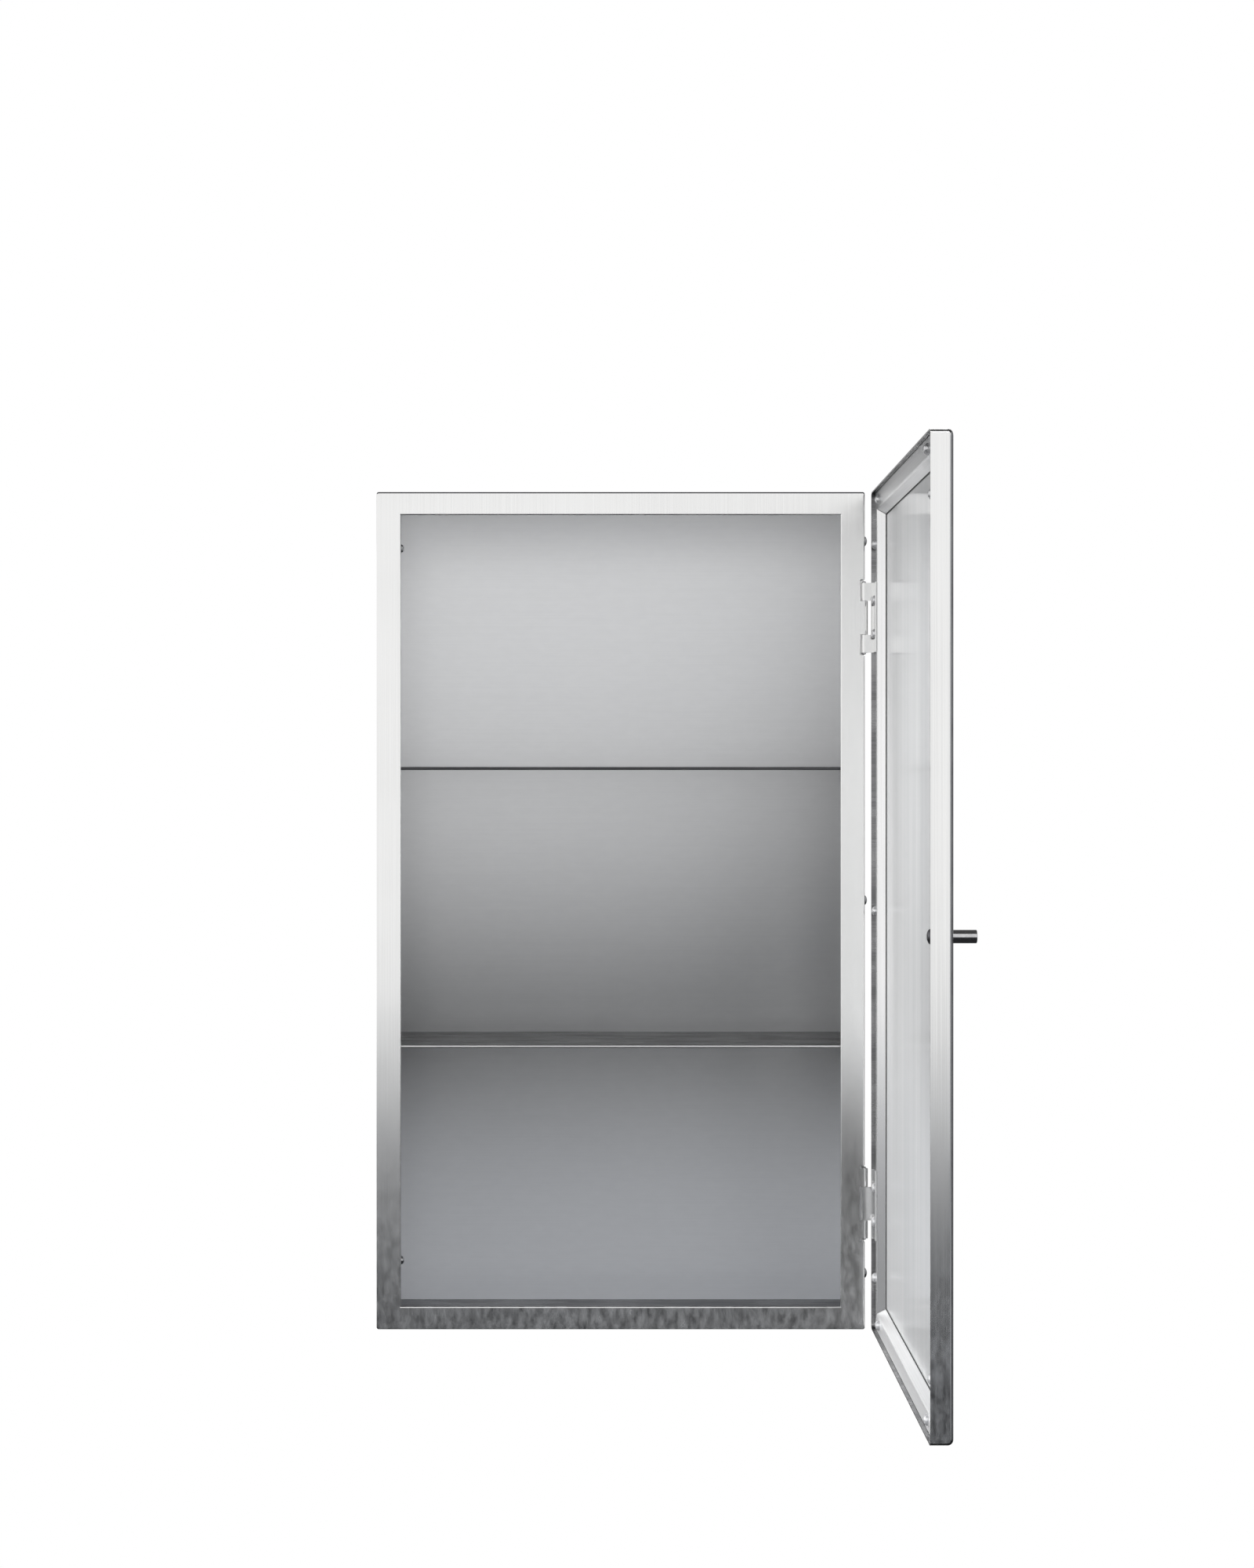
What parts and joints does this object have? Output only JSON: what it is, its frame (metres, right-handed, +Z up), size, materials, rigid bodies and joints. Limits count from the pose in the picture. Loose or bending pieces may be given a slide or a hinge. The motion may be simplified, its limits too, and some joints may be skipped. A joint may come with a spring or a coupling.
{
  "type": "medicine cabinet with mirror",
  "caption": "Wall-hung brushed steel bathroom cabinet with fixed shelves and a hinged mirror door that opens to the right by a small round knob.",
  "frame": {"origin": "midway between the two hanging keyholes, in the wall plane", "axes": "+Z up, +Y into the wall, -Y out of the cabinet's front, +X towards the hinge side"},
  "size_m": [0.3834, 0.466, 0.6],
  "materials": {
    "brushed_steel": "brushed along each strip, bright",
    "satin_steel": "smooth satin",
    "polished_steel": "polished",
    "plain_steel": "plain mill finish",
    "mirror_glass": "silvered glass",
    "gasket_rubber": "matt",
    "magnet_housing": "matt moulded"
  },
  "bodies": {
    "cabinet": {"shell": "brushed_steel", "upper_hinge_frame_leaf": "brushed_steel", "lower_hinge_frame_leaf": "brushed_steel", "hinge_stiffener": "brushed_steel", "back_panel": "satin_steel", "upper_shelf": "satin_steel", "lower_shelf": "satin_steel", "stiffener_rivets": "polished_steel", "catch_nuts": "polished_steel", "upper_hinge_pin": "polished_steel", "lower_hinge_pin": "polished_steel", "hanging_rail": "plain_steel", "catch_studs": "plain_steel", "upper_catch_magnet": "magnet_housing", "lower_catch_magnet": "magnet_housing"},
    "door": {"door_frame": "brushed_steel", "mirror": "mirror_glass", "mirror_backing": "satin_steel", "glazing_gasket": "gasket_rubber", "top_retainer": "brushed_steel", "bottom_retainer": "brushed_steel", "hinge_side_retainer": "brushed_steel", "knob_side_retainer": "brushed_steel", "retainer_screws": "polished_steel", "retainer_posts": "plain_steel", "hinge_screws": "polished_steel", "hinge_posts": "plain_steel", "upper_hinge_door_leaf": "brushed_steel", "lower_hinge_door_leaf": "brushed_steel", "knob": "polished_steel", "knob_screw": "polished_steel", "knob_washer": "polished_steel", "knob_sleeve": "plain_steel"}
  },
  "joints": [
    {"name": "door_swing", "type": "hinge", "parent": "cabinet", "child": "door", "pos_m": [0.1747, -0.1163, 0], "axis": [0, 0, 1], "range_deg": [-90, 70]}
  ]
}
